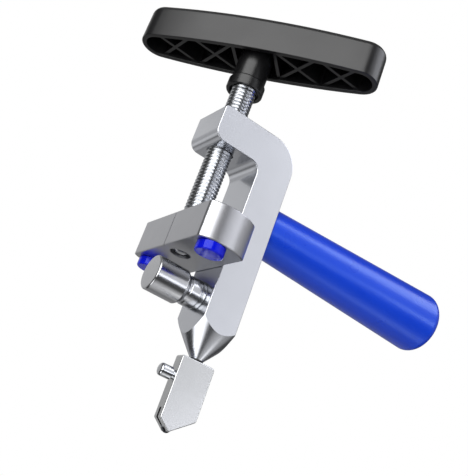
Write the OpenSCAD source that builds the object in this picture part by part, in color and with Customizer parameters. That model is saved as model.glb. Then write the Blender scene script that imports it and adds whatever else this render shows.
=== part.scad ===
// Hand tool for glass and tile: a C-shaped frame with a scoring wheel on its nose,
// and a screw press that breaks the scored sheet over a round anvil pin.
// Origin: on the axis of the anvil pin, below the lead screw. +Z runs up the lead screw,
// +X runs from the screw towards the grip, and the frame is symmetric about y = 0.

/* [Frame] */
// Width of the frame bar, side to side
frame_w = 20.8; // [17:0.2:26]
// Thickness of the upright spine, front to back
spine_t = 14.8; // [13:0.2:19]
// Distance from the screw axis to the spine's inner face
throat = 13; // [12:0.5:20]
// Distance from the screw axis to the tip of the arm
arm_reach = 9; // [8:0.5:14]
// Thickness of the arm that carries the screw
arm_t = 14.4; // [10:0.2:20]
// Height of the arm's underside above the anvil pin's axis
arm_rise = 55.5; // [48:0.5:80]
// Radius of the outer corner between arm and spine
outer_r = 12; // [6:0.5:14]
// Radius of the inner corner between arm and spine
inner_r = 4.5; // [2:0.5:7]
// Radius under the arm's tip
tip_r = 4; // [1:0.5:6]

/* [Nose] */
// Depth of the nose's shoulder below the anvil pin's axis
nose_drop = 7.9; // [7.4:0.1:14]
// Length of the pointed nose below its shoulder
nose_len = 13.9; // [9:0.1:18]
// Diameter of the nose's flat end
nose_d = 5.2; // [4.8:0.1:9]
// How far the nose's flank bulges beyond a straight cone
nose_bulge = 0.2; // [0.1:0.1:1.2]
// How far the nose's axis sits behind the spine's middle
nose_back = 1; // [0:0.1:2]

/* [Lead screw] */
// Outside diameter of the lead screw
screw_d = 10; // [8:0.5:12]
// Diameter of the plain journal that turns in the press block
journal_d = 5.2; // [4.6:0.2:6.2]
// Radial running clearance of every turning fit
run_gap = 0.05; // [0.02:0.01:0.08]
// Clearance between parts that slide past each other
slide_gap = 0.15; // [0.1:0.05:0.3]
// Depth of the retaining ring's groove in the journal
groove_depth = 0.5; // [0.3:0.1:0.8]
// Thickness of the retaining ring
ring_t = 1; // [0.8:0.1:1.4]
// Thickness of the thrust washer
thrust_t = 1.2; // [0.8:0.1:1.6]

/* [Press block] */
// Height of the press block's underside above the anvil pin's axis, at rest
block_rise = 11.3; // [10.5:0.1:14]
// Height of the press block
block_h = 14.1; // [12:0.1:18]
// Diameter of the pocket under the press block that holds the retaining ring
pocket_d = 8; // [7.4:0.2:10.8]
// Distance from the screw axis to the press block's front face
block_front = 7.5; // [7:0.1:10]
// Overall width of the press block, end to end
block_w = 57.4; // [52:0.2:70]
// Radius of the press block's rounded ends
block_end_r = 15.8; // [13:0.2:20]
// Radius where the front face turns into each end
block_corner_r = 2.2; // [1:0.1:3]
// Width and depth of the centre mark engraved on the front face
mark_w = 0.5; // [0.2:0.1:1]

/* [Feet] */
// Distance between the centres of the two feet
foot_span = 46; // [40:1:50]
// Diameter of a foot's pad
foot_d = 10.8; // [8:0.2:12]
// Height of a foot's pad
foot_h = 3.6; // [2:0.2:5]
// Diameter of a foot's stem
stem_d = 5.6; // [4:0.2:7]
// Length of a foot's stem
stem_len = 7; // [5:0.5:9]

/* [Anvil pin] */
// Diameter of the anvil pin's head
anvil_d = 13.8; // [12.6:0.2:16]
// Length of the anvil pin's head
anvil_len = 14.6; // [12:0.2:16]
// Length of the taper at the back of the anvil pin's head
anvil_taper = 2; // [1:0.1:3]
// Distance from the screw axis to the anvil pin's front end
anvil_front = 8.3; // [7:0.1:10]
// Diameter of the anvil pin's neck
neck_d = 11.5; // [9:0.1:12.4]
// Diameter of the collar nut between neck and spine
collar_d = 12; // [9.4:0.1:12.8]
// Thickness of the collar nut
collar_t = 1.7; // [1:0.1:2.4]
// Diameter of the stud that holds the anvil pin in the spine
anvil_stud_d = 6; // [4:0.5:7]
// Depth of that stud in the spine
anvil_stud_len = 10; // [6:0.5:11]

/* [T-handle] */
// Length of the T-handle
tee_len = 102; // [80:1:130]
// Width of the T-handle at its middle
tee_w = 21.6; // [19:0.2:26]
// Radius of the T-handle's ends
tee_end_r = 8; // [7:0.2:9]
// Height of the T-handle's shell
tee_h = 16; // [12:0.5:22]
// Wall of the T-handle's shell
tee_wall = 2.2; // [1.6:0.1:3]
// Thickness of the T-handle's top
tee_roof = 3; // [2:0.1:4]
// Height of the T-handle's rim above the anvil pin's axis, at rest
tee_rise = 99.1; // [92:0.1:110]
// Turn of the T-handle about the screw at rest, in degrees
tee_turn = -43.7; // [-90:0.1:90]
// Length of the hub below the rim
hub_drop = 14.7; // [10:0.1:16]
// Diameter of the hub
hub_d = 13.8; // [13:0.2:16]
// Diameter of the thicker skirt at the hub's lower end
skirt_d = 15.2; // [14.4:0.2:18]
// Height of the skirt
skirt_h = 4.6; // [3:0.2:8]
// Thickness of the ribs
rib_t = 1.4; // [1:0.1:2]
// Distance that the ribs stay behind the rim
rib_recess = 1; // [0.5:0.5:5]
// Width across flats of the hexagonal nut moulded into the hub
hex_af = 11; // [10.6:0.1:12]

/* [Grip] */
// Height of the grip's axis above the anvil pin's axis
grip_rise = 36.5; // [25:0.5:42]
// Length of the grip
grip_len = 91.9; // [70:0.1:120]
// Diameter of the grip at the frame
grip_d1 = 20; // [17:0.2:22]
// Diameter of the grip at its free end
grip_d2 = 26.8; // [22:0.2:32]
// Radius of the edge at the grip's free end
grip_edge_r = 4.5; // [2:0.5:7]
// Diameter of the stud that holds the grip
stud_d = 8; // [6:0.5:8]
// Depth of that stud in the spine
stud_in_spine = 10; // [8:0.5:11]
// Length of the threaded insert in the grip
insert_len = 20; // [14:1:26]
// Outside diameter of the threaded insert
insert_d = 12; // [10.5:0.5:14]

/* [Cutter head] */
// Width of the cutter head, front to back
head_w = 14.2; // [13:0.1:18]
// Thickness of the cutter head
head_t = 5.4; // [4.2:0.2:7]
// Length of the cutter head's front side
head_front_len = 23.7; // [20:0.1:28]
// Length of the cutter head's back side
head_back_len = 20.6; // [18:0.2:26]
// Overall length of the cutter head
head_len = 27.4; // [25.8:0.2:33]
// How far the head's middle sits behind the post
head_bias = 0.2; // [0:0.1:2]
// How far the wheel's tip sits ahead of the post
tip_lead = 2; // [0:0.1:3]
// Thickness of the friction washer between nose and head
head_washer_t = 0.6; // [0.4:0.1:2]
// Diameter of the post that carries the head
post_d = 3.2; // [2.4:0.1:3.4]
// Depth of the post in the nose, and in the head
post_grip = 11; // [8:0.5:14]
// Distance from the top of the head to the lock screw
lock_drop = 7.8; // [5:0.1:9]
// Diameter of the lock screw's head
lock_d = 4.8; // [4:0.1:5]
// Length of the lock screw's head
lock_len = 5; // [3:0.1:7]
// Diameter of the lock screw's threaded shank
lock_shank_d = 2.6; // [2:0.1:3]
// Diameter of the scoring wheel
wheel_d = 4; // [3.6:0.2:6]
// Thickness of the scoring wheel
wheel_t = 1; // [0.8:0.1:1.4]
// How far the wheel stands out of the head's tip
wheel_show = 0.4; // [0.2:0.1:0.8]
// Diameter of the wheel's axle
axle_d = 1.4; // [1:0.1:1.8]

/* [Hidden] */
$fn = 96;
eps = 0.01;

// Frame, worked out
spine_out = throat + spine_t;
arm_top = arm_rise + arm_t;
post_x = throat + spine_t / 2 + nose_back;
nose_end = -nose_drop - nose_len;
shoulder_r = sqrt(pow(spine_t / 2 + nose_back, 2) + pow(frame_w / 2, 2)) + eps;
bore_lip = 0.4;
arm_edge_r = 1.2;

// Press block and screw end, worked out
block_top = block_rise + block_h;
block_back = throat - slide_gap;
end_mid_x = 1.9;
end_mid_y = block_w / 2 - block_end_r;
back_corner_r = 1;
screw_r = screw_d / 2;
journal_r = journal_d / 2;
seat_r = screw_r + 0.4;
seat_depth = 4;
seat_z = block_top - seat_depth;
shoulder_z = seat_z + thrust_t + run_gap;
pocket_r = pocket_d / 2;
pocket_depth = 3.2;
pocket_z = block_rise + pocket_depth;
ring_top = pocket_z - run_gap;
ring_d = pocket_d - 1.2;
groove_r = journal_r - groove_depth;
screw_end = block_rise + 0.2;
screw_end_edge = 0.7;
stem_hole_extra = 0.5;

// T-handle, worked out
side_r = (pow(tee_len / 2 - tee_end_r, 2) + pow(tee_w / 2 - tee_end_r, 2))
    / (2 * (tee_w / 2 - tee_end_r)) + tee_end_r;
tee_end_x = tee_len / 2 - tee_end_r;
hub_z = tee_rise - hub_drop;
tee_top = tee_rise + tee_h;
tee_edge = 1.4;
nut_h = 8;
nut_z = hub_z + 5;
lip_d = screw_d + 2;
lip_depth = 1.6;
screw_top = nut_z + nut_h + 4;

// Anvil pin, worked out
anvil_r = anvil_d / 2;
anvil_back = anvil_len - anvil_front;
anvil_edge = 0.8;
relief_r = neck_d / 2 - 0.5;
relief_w = 0.7;
collar_x = throat - collar_t;

// Grip, worked out
grip_slope = (grip_d2 - grip_d1) / 2 / grip_len;
insert_seat = insert_len + 1;
stud_reach = insert_len - 2;

// Cutter head, worked out
head_top = nose_end - head_washer_t - run_gap;
head_front = post_x + head_bias - head_w / 2;
head_back = head_front + head_w;
tip_x = post_x - tip_lead;
head_bottom = head_top - head_len;
slot_t = wheel_t + 0.3;
slot_top = head_top - head_front_len + 3.6;
slot_back = tip_x + wheel_d / 2 + 1.2;
wheel_z = head_bottom + wheel_d / 2 - wheel_show;
lock_z = head_top - lock_drop;
lock_neck = 0.9;
lock_edge = 1;

// Points of an arc about c, from angle a to angle b
function arc(c, r, a, b, n = 8) =
    [for (i = [0:n]) c + r * [cos(a + (b - a) * i / n), sin(a + (b - a) * i / n)]];

// Flank of the nose as an arc through its two ends, in [radius, height]
function nose_flank(n = 10) =
    let (a = [shoulder_r, -nose_drop], b = [nose_d / 2, nose_end], d = b - a, len = norm(d),
        out = [-d[1], d[0]] / len)
    [for (i = [0:n]) let (t = i / n) a + d * t + out * nose_bulge * 4 * t * (1 - t)];

// A drawing in the XZ plane, given thickness along Y and centred on y = 0
module across(w) {
    rotate([90, 0, 0]) linear_extrude(w, center = true) children();
}

// A bar along +X
module rod(x, d, len, z = 0) {
    translate([x, 0, z]) rotate([0, 90, 0]) cylinder(d = d, h = len);
}

// The waste outside a rounded corner at [x, z]; sx and sz point into the metal
module corner_waste(x, z, r, sx, sz) {
    translate([x, z]) scale([sx, sz]) difference() {
        translate([-1, -1]) square(r + 1);
        translate([r, r]) circle(r);
    }
}

module frame_outline() {
    difference() {
        union() {
            translate([-arm_reach, arm_rise]) square([arm_reach + spine_out, arm_t]);
            translate([throat, nose_end]) square([spine_t, arm_top - nose_end]);
            translate([throat - inner_r, arm_rise - inner_r]) square([inner_r + 1, inner_r + 1]);
        }
        translate([throat - inner_r, arm_rise - inner_r]) circle(inner_r);
        corner_waste(spine_out, arm_top, outer_r, -1, -1);
        corner_waste(-arm_reach, arm_rise, tip_r, 1, 1);
        corner_waste(-arm_reach, arm_top, arm_edge_r, 1, -1);
    }
}

module nose_waste() {
    translate([post_x, 0, 0]) rotate_extrude()
        polygon(concat(nose_flank(), [[nose_d / 2, nose_end - 1], [shoulder_r + 8, nose_end - 1],
            [shoulder_r + 8, -nose_drop]]));
}

module c_frame() {
    color("#c6c9d0") difference() {
        across(frame_w) frame_outline();
        nose_waste();
        translate([0, 0, arm_rise - 1]) cylinder(r = screw_r + run_gap, h = arm_t + 2);
        translate([0, 0, arm_rise - eps])
            cylinder(r1 = screw_r + bore_lip, r2 = screw_r + run_gap, h = bore_lip);
        translate([0, 0, arm_top - bore_lip + eps])
            cylinder(r1 = screw_r + run_gap, r2 = screw_r + bore_lip, h = bore_lip);
        rod(throat - 1, anvil_stud_d, anvil_stud_len + 1);
        rod(spine_out - stud_in_spine, stud_d, stud_in_spine + 1, grip_rise);
        translate([post_x, 0, nose_end - 1]) cylinder(d = post_d, h = post_grip + 1);
    }
}

module lead_screw() {
    color("#d9dbde") difference() {
        union() {
            translate([0, 0, shoulder_z]) cylinder(r = screw_r, h = screw_top - shoulder_z);
            translate([0, 0, screw_end + screw_end_edge])
                cylinder(r = journal_r, h = shoulder_z - screw_end - screw_end_edge + 1);
            translate([0, 0, screw_end])
                cylinder(r1 = journal_r - screw_end_edge, r2 = journal_r, h = screw_end_edge);
        }
        translate([0, 0, ring_top - ring_t]) difference() {
            cylinder(r = journal_r + 1, h = ring_t);
            translate([0, 0, -1]) cylinder(r = groove_r, h = ring_t + 2);
        }
    }
}

module retaining_ring() {
    color("#8d9095") translate([0, 0, ring_top - ring_t]) difference() {
        cylinder(d = ring_d, h = ring_t);
        translate([0, 0, -1]) cylinder(r = groove_r, h = ring_t + 2);
    }
}

module thrust_washer() {
    color("#b9a566") translate([0, 0, seat_z]) difference() {
        cylinder(r = seat_r - 0.1, h = thrust_t);
        translate([0, 0, -1]) cylinder(r = journal_r + run_gap, h = thrust_t + 2);
    }
}

// Boat-shaped outline of the T-handle, grown by g: two shallow side arcs that run smoothly
// into two end arcs
module tee_outline(g = 0) {
    lean = asin(tee_end_x / (side_r - tee_end_r));
    side_y = side_r - tee_w / 2;
    polygon(concat(
        arc([tee_end_x, 0], tee_end_r + g, lean - 90, 90 - lean, 16),
        arc([0, -side_y], side_r + g, 90 - lean, 90 + lean, 24),
        arc([-tee_end_x, 0], tee_end_r + g, 90 + lean, 270 - lean, 16),
        arc([0, side_y], side_r + g, 270 - lean, 270 + lean, 24)));
}

module tee_ribs() {
    inner_w = tee_w - 2 * tee_wall;
    bay = (tee_end_x - hub_d / 2) / 2;
    rib_h = tee_h - tee_roof - rib_recess + eps;
    translate([0, 0, tee_rise + rib_recess]) for (s = [-1, 1]) {
        for (k = [0, 1]) for (m = [-1, 1])
            translate([s * (hub_d / 2 + 2 + bay * (k + 0.5)), 0, rib_h / 2])
                rotate([0, 0, m * 45]) cube([1.6 * inner_w, rib_t, rib_h], center = true);
        translate([s * (hub_d / 2 + 2), 0, rib_h / 2]) cube([rib_t, 2 * inner_w, rib_h], center = true);
    }
}

module t_handle() {
    color("#2b2c2e") rotate([0, 0, tee_turn]) difference() {
        union() {
            difference() {
                union() {
                    translate([0, 0, tee_rise]) linear_extrude(tee_h - tee_edge) tee_outline();
                    translate([0, 0, tee_rise]) linear_extrude(tee_h) tee_outline(-tee_edge);
                }
                translate([0, 0, tee_rise - 1]) linear_extrude(tee_h - tee_roof + 1)
                    tee_outline(-tee_wall);
            }
            intersection() {
                tee_ribs();
                translate([0, 0, tee_rise]) linear_extrude(tee_h) tee_outline(-tee_wall / 2);
            }
            translate([0, 0, hub_z]) cylinder(d = hub_d, h = hub_drop + tee_h - tee_roof + eps);
            translate([0, 0, hub_z]) cylinder(d = skirt_d, h = skirt_h);
        }
        translate([0, 0, hub_z - 1]) cylinder(r = screw_r, h = screw_top - hub_z + 1);
        translate([0, 0, hub_z - 1]) cylinder(d = lip_d, h = lip_depth + 1);
        translate([0, 0, nut_z]) cylinder(d = hex_af / cos(30), h = nut_h, $fn = 6);
    }
}

module handle_nut() {
    color("#a9acb0") rotate([0, 0, tee_turn]) translate([0, 0, nut_z]) difference() {
        cylinder(d = hex_af / cos(30), h = nut_h, $fn = 6);
        translate([0, 0, -1]) cylinder(r = screw_r, h = nut_h + 2);
    }
}

// One end of the press block's outline; s is -1 for the near end and 1 for the far end
module block_end(s) {
    intersection() {
        translate([end_mid_x, s * end_mid_y]) circle(block_end_r);
        translate([-block_front, s > 0 ? 0 : -block_w]) square([block_front + block_back, block_w]);
    }
}

// The waste where a straight side at x, facing sx, turns into the end arc with radius r
module block_corner_waste(x, sx, r, s) {
    cx = x - sx * r;
    cy = end_mid_y + sqrt(pow(block_end_r - r, 2) - pow(cx - end_mid_x, 2));
    reach = [cx - end_mid_x, cy - end_mid_y] / (block_end_r - r);
    touch = [end_mid_x, end_mid_y] + reach * block_end_r;
    scale([1, s]) difference() {
        polygon([[cx, cy], [x + sx, cy], [x + sx, cy + 2 * r + 1], touch + reach, touch]);
        translate([cx, cy]) circle(r);
    }
}

module block_outline() {
    difference() {
        union() {
            block_end(-1);
            block_end(1);
            translate([-block_front, -end_mid_y]) square([block_front + block_back, 2 * end_mid_y]);
        }
        for (s = [-1, 1]) {
            block_corner_waste(-block_front, -1, block_corner_r, s);
            block_corner_waste(block_back, 1, back_corner_r, s);
        }
    }
}

module press_block() {
    color("#a5a6aa") difference() {
        translate([0, 0, block_rise]) linear_extrude(block_h) block_outline();
        translate([0, 0, block_rise - 1]) cylinder(r = journal_r + run_gap, h = block_h + 2);
        translate([0, 0, seat_z]) cylinder(r = seat_r, h = seat_depth + 1);
        translate([0, 0, block_rise - 1]) cylinder(r = pocket_r, h = pocket_depth + 1);
        translate([-block_front, 0, block_rise - 1]) rotate([0, 0, 45])
            translate([-mark_w / 2, -mark_w / 2, 0]) cube([mark_w, mark_w, block_h + 2]);
        for (s = [-1, 1]) translate([0, s * foot_span / 2, block_rise - 1])
            cylinder(d = stem_d, h = stem_len + stem_hole_extra + 1);
    }
}

module foot(s) {
    pad_edge = 0.5;
    color("#1420c8") translate([0, s * foot_span / 2, block_rise]) {
        translate([0, 0, -foot_h + pad_edge]) cylinder(d = foot_d, h = foot_h - pad_edge);
        translate([0, 0, -foot_h])
            cylinder(d1 = foot_d - 2 * pad_edge, d2 = foot_d, h = pad_edge);
        cylinder(d = stem_d, h = stem_len);
    }
}

module foot_near() {
    foot(-1);
}

module foot_far() {
    foot(1);
}

module anvil_pin() {
    color("#9fa1a5") {
        rod(-anvil_front + anvil_edge, anvil_d, anvil_len - anvil_edge - anvil_taper);
        translate([-anvil_front, 0, 0]) rotate([0, 90, 0])
            cylinder(r1 = anvil_r - anvil_edge, r2 = anvil_r, h = anvil_edge);
        translate([anvil_back - anvil_taper, 0, 0]) rotate([0, 90, 0])
            cylinder(r1 = anvil_r, r2 = relief_r, h = anvil_taper);
        rod(anvil_back - 1, 2 * relief_r, relief_w + 2);
        rod(anvil_back + relief_w, neck_d, collar_x - anvil_back - relief_w);
        rod(collar_x - 1, anvil_stud_d, collar_t + anvil_stud_len + 1);
    }
}

module anvil_collar() {
    color("#c9cbce") difference() {
        rod(collar_x, collar_d, collar_t);
        rod(collar_x - 1, anvil_stud_d, collar_t + 2);
    }
}

module grip_solid() {
    tail = [grip_len - grip_edge_r, grip_d2 / 2 - grip_edge_r];
    rotate([0, 90, 0]) rotate_extrude()
        polygon(concat([[0, 0], [grip_d1 / 2, 0]],
            [for (q = arc([tail[1], tail[0]], grip_edge_r, 0, 90, 12)) q],
            [[0, grip_len]]));
}

module grip() {
    color("#1b43d6") translate([spine_out, 0, grip_rise]) difference() {
        grip_solid();
        translate([-1, 0, 0]) rotate([0, 90, 0]) cylinder(d = insert_d, h = insert_seat);
    }
}

module grip_insert() {
    color("#c2a24e") difference() {
        rod(spine_out, insert_d, insert_len, grip_rise);
        rod(spine_out - 1, stud_d, stud_reach + 1, grip_rise);
    }
}

module grip_stud() {
    color("#b4b7bb") rod(spine_out - stud_in_spine, stud_d, stud_in_spine + stud_reach, grip_rise);
}

module cutter_post() {
    color("#b4b7bb") translate([post_x, 0, head_top - post_grip])
        cylinder(d = post_d, h = 2 * post_grip + nose_end - head_top);
}

module head_washer() {
    color("#26272a") translate([post_x, 0, nose_end - head_washer_t]) difference() {
        cylinder(d = nose_d, h = head_washer_t);
        translate([0, 0, -1]) cylinder(d = post_d, h = head_washer_t + 2);
    }
}

module head_outline() {
    corner_r = 1.2;
    difference() {
        polygon([[head_front, head_top], [head_back, head_top],
            [head_back, head_top - head_back_len], [tip_x, head_bottom],
            [head_front, head_top - head_front_len]]);
        corner_waste(head_back, head_top, corner_r, -1, -1);
        corner_waste(head_front, head_top, corner_r / 2, 1, -1);
    }
}

module cutter_head() {
    color("#c4c6c9") difference() {
        across(head_t) head_outline();
        translate([post_x, 0, head_top - post_grip - 0.5])
            cylinder(r = post_d / 2 + run_gap, h = post_grip + 2);
        rod(head_front - 1, lock_shank_d + 2 * run_gap, post_x - head_front + 1, lock_z);
        translate([head_front - 1, -slot_t / 2, head_bottom - 1])
            cube([slot_back - head_front + 1, slot_t, slot_top - head_bottom + 1]);
        translate([tip_x, 0, wheel_z]) rotate([90, 0, 0])
            cylinder(d = axle_d, h = head_t + 2, center = true);
    }
}

module head_lock_screw() {
    neck_d = lock_d - 1.4;
    neck_x = head_front - run_gap - lock_neck;
    shank_end = post_x - post_d / 2 - 0.2;
    color("#a8abb0") translate([0, 0, lock_z]) {
        rod(neck_x, neck_d, lock_neck);
        rod(neck_x - lock_len + lock_edge, lock_d, lock_len - lock_edge);
        translate([neck_x - lock_len, 0, 0]) rotate([0, 90, 0])
            cylinder(d1 = lock_d - 2 * lock_edge, d2 = lock_d, h = lock_edge);
        rod(neck_x, lock_shank_d, shank_end - neck_x);
    }
}

module cutter_wheel() {
    land = 0.2;
    hub_r = wheel_d / 2 - wheel_t / 2 + land / 2;
    color("#5b5e64") translate([tip_x, 0, wheel_z]) rotate([90, 0, 0]) difference() {
        rotate_extrude() polygon([[0, -wheel_t / 2], [hub_r, -wheel_t / 2],
            [wheel_d / 2, -land / 2], [wheel_d / 2, land / 2], [hub_r, wheel_t / 2],
            [0, wheel_t / 2]]);
        cylinder(d = axle_d + 2 * run_gap, h = wheel_t + 2, center = true);
    }
}

module wheel_axle() {
    color("#8f9297") translate([tip_x, 0, wheel_z]) rotate([90, 0, 0])
        cylinder(d = axle_d, h = head_t, center = true);
}

c_frame();
lead_screw();
t_handle();
handle_nut();
press_block();
thrust_washer();
retaining_ring();
foot_near();
foot_far();
anvil_pin();
anvil_collar();
grip();
grip_insert();
grip_stud();
cutter_post();
head_washer();
cutter_head();
head_lock_screw();
cutter_wheel();
wheel_axle();
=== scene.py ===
# %% [markdown]
# # A hand-held glass cutter and breaker
# The tool does two jobs. A small steel head at the bottom carries a scoring wheel, and a screw
# press in the C-shaped frame bends the scored sheet over a round pin until it snaps. The packed
# model gives every place and size, so this script builds surfaces on it and never moves it.

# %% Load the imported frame
import math

import bmesh
import bpy
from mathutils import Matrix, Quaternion, Vector


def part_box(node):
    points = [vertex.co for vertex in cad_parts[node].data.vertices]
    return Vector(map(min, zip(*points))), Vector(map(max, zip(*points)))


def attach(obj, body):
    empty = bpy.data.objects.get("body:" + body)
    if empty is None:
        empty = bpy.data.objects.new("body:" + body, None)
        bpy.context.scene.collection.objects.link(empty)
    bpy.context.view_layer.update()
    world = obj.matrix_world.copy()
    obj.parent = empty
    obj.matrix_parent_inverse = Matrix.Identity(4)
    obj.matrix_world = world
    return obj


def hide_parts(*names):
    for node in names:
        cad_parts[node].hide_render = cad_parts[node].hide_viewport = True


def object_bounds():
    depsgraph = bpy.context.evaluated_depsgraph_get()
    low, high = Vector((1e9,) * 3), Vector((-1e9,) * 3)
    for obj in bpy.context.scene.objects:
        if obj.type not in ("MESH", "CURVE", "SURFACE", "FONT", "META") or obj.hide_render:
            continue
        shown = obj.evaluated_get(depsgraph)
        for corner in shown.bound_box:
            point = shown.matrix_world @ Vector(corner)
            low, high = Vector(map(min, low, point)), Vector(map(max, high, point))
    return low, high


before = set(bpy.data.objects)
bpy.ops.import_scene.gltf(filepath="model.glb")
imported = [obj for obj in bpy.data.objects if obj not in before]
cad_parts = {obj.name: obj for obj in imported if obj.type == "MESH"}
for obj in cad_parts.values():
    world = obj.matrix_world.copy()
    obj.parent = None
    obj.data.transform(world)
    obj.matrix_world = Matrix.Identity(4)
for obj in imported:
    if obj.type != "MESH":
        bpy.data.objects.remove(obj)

cad_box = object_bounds()

# %% [markdown]
# ## Working in millimetres
# A maker thinks of this tool in millimetres, and Blender works in metres. Every outline below is
# in millimetres, and one factor turns finished points into metres. Places are read from the
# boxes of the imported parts, so that each surface lands where its part is.

# %% Read the boxes of the parts, in millimetres
MM = 0.001


def box_mm(part):
    """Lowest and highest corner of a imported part, in millimetres."""
    low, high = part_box(part)
    return low / MM, high / MM


frame_low, frame_high = box_mm("c_frame")
block_low, block_high = box_mm("press_block")
tee_low, tee_high = box_mm("t_handle")
head_low, head_high = box_mm("cutter_head")
pin_low, pin_high = box_mm("anvil_pin")
collar_low, collar_high = box_mm("anvil_collar")
print("frame %.1f x %.1f x %.1f mm" % tuple(frame_high - frame_low))

# %% [markdown]
# ## The camera
# The tool is seen from below and from its front left, and it leans to the right in the frame.
# Such a camera is easiest to read as a place on a ball round the subject: which way it looks, how
# steeply, how far away it stands, and how far it is rolled about its own line of sight.

# %% Camera
look_at = Vector((8.2, -20.8, 18.9)) * MM
look_turn = math.radians(26.4)
look_rise = math.radians(20.8)
look_away = 290 * MM
roll = math.radians(20.3)

sight = Vector((math.sin(look_turn) * math.cos(look_rise),
                math.cos(look_turn) * math.cos(look_rise), math.sin(look_rise)))
camera = bpy.data.objects.new("camera", bpy.data.cameras.new("camera"))
bpy.context.collection.objects.link(camera)
camera.data.lens = 61.6
camera.data.sensor_width = 36
camera.data.clip_start = 0.01
camera.location = look_at - sight * look_away
camera.rotation_mode = "QUATERNION"
camera.rotation_quaternion = Quaternion(sight, -roll) @ sight.to_track_quat("-Z", "Y")
bpy.context.scene.camera = camera
print("camera at", [round(v / MM) for v in camera.location], "mm")

# %% [markdown]
# ## Outlines with round corners
# Machined bar and mouldings have a radius at every corner, because a cutter or a mould has one. An
# outline is written as its few corners, each with its radius, and a helper swaps each corner for an
# arc that meets both sides smoothly. This keeps the drawing as short as a workshop sketch.


# %% Arcs and rounded outlines
def arc(centre, radius, start, end, steps=10):
    """Points of an arc from one angle to another, in degrees."""
    turns = [math.radians(start + (end - start) * i / steps) for i in range(steps + 1)]
    return [Vector(centre) + radius * Vector((math.cos(a), math.sin(a))) for a in turns]


def rounded(corners, steps=10):
    """A closed outline from corners (u, v, radius), each corner swapped for an arc."""
    points = []
    for i, (u, v, radius) in enumerate(corners):
        here = Vector((u, v))
        if radius == 0:
            points.append(here)
            continue
        back = (Vector(corners[i - 1][:2]) - here).normalized()
        ahead = (Vector(corners[(i + 1) % len(corners)][:2]) - here).normalized()
        half = back.angle(ahead) / 2
        centre = here + (back + ahead).normalized() * radius / math.sin(half)
        first = here + back * radius / math.tan(half) - centre
        turn = math.pi - 2 * half
        side = 1 if first.cross(here + ahead - centre) > 0 else -1
        start = math.degrees(math.atan2(first.y, first.x))
        points += arc(centre, radius, start, start + side * math.degrees(turn), steps)
    return points


def inset(outline, by):
    """The outline moved inwards by a distance, corner by corner."""
    area = sum(a.cross(b) for a, b in zip(outline, outline[1:] + outline[:1]))
    side = 1 if area > 0 else -1
    moved = []
    for i, here in enumerate(outline):
        before = (here - outline[i - 1]).normalized()
        after = (outline[(i + 1) % len(outline)] - here).normalized()
        first = Vector((-before.y, before.x))
        second = Vector((-after.y, after.x))
        moved.append(here + (first + second) * side * by / (1 + first.dot(second)))
    return moved


print("a 10 mm square with 2 mm corners has",
      len(rounded([(0, 0, 2), (10, 0, 2), (10, 10, 2), (0, 10, 2)])), "points")

# %% [markdown]
# ## Skins, slabs and turned pieces
# Nearly all of this tool is either cut from flat bar or turned in a lathe. Both can be made as
# rings of points joined by faces: a slab's rings are copies of one outline, drawn in a little at
# the rims so that the edges are broken as a file or tumbler leaves them, and a turned piece's
# rings are circles whose radius follows a profile. Modelled edges catch light, where the hard
# corner of a plain extrusion would stay black.

# %% Rings of points into a closed mesh
WELD = 0.002
# For each axis: the two directions across it, then the direction along it
AXES = {"X": (1, 2, 0), "Y": (0, 2, 1), "Z": (0, 1, 2)}


def point_on(axis, u, v, along):
    """A point from its two coordinates across an axis and the one along it."""
    place = [0, 0, 0]
    for index, value in zip(AXES[axis], (u, v, along)):
        place[index] = value
    return Vector(place)


def linked_piece(name, shape):
    """Turns a finished bmesh into a mesh object in the scene."""
    bmesh.ops.recalc_face_normals(shape, faces=shape.faces)
    mesh = bpy.data.meshes.new(name)
    shape.to_mesh(mesh)
    shape.free()
    piece = bpy.data.objects.new(name, mesh)
    bpy.context.collection.objects.link(piece)
    return piece


def skin(name, rings, hollow=False):
    """A mesh object from rings of points; a hollow one joins its last ring to its first."""
    shape = bmesh.new()
    loops = [[shape.verts.new(p * MM) for p in ring] for ring in rings]
    pairs = list(zip(loops, loops[1:]))
    if hollow:
        pairs.append((loops[-1], loops[0]))
    for below, above in pairs:
        for i, j in zip(range(-1, len(below) - 1), range(len(below))):
            shape.faces.new((below[i], below[j], above[j], above[i]))
    if not hollow:
        shape.faces.new(loops[0])
        shape.faces.new(loops[-1])
    bmesh.ops.remove_doubles(shape, verts=shape.verts, dist=WELD * MM)
    return linked_piece(name, shape)


def slab(name, outline, low, high, axis, edge, steps=4):
    """An outline pulled from low to high along an axis, with both rims rounded."""
    turns = [math.pi / 2 * i / steps for i in range(steps + 1)]
    rim = [(edge * (1 - math.sin(a)), edge * (1 - math.cos(a))) for a in turns]
    levels = [(i, low + h) for i, h in rim] + [(i, high - h) for i, h in reversed(rim)]
    return skin(name, [[point_on(axis, p.x, p.y, along) for p in inset(outline, by)]
                       for by, along in levels])


def turned(name, profile, axis, centre=(0, 0), hollow=False, segments=96):
    """A lathe-turned piece; the profile lists (along, radius) and centre is across the axis."""
    turns = [2 * math.pi * i / segments for i in range(segments)]
    rings = [[point_on(axis, centre[0] + r * math.cos(a), centre[1] + r * math.sin(a), along)
              for a in turns] for along, r in profile]
    return skin(name, rings, hollow)


print("points closer than", WELD, "mm are joined")
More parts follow.
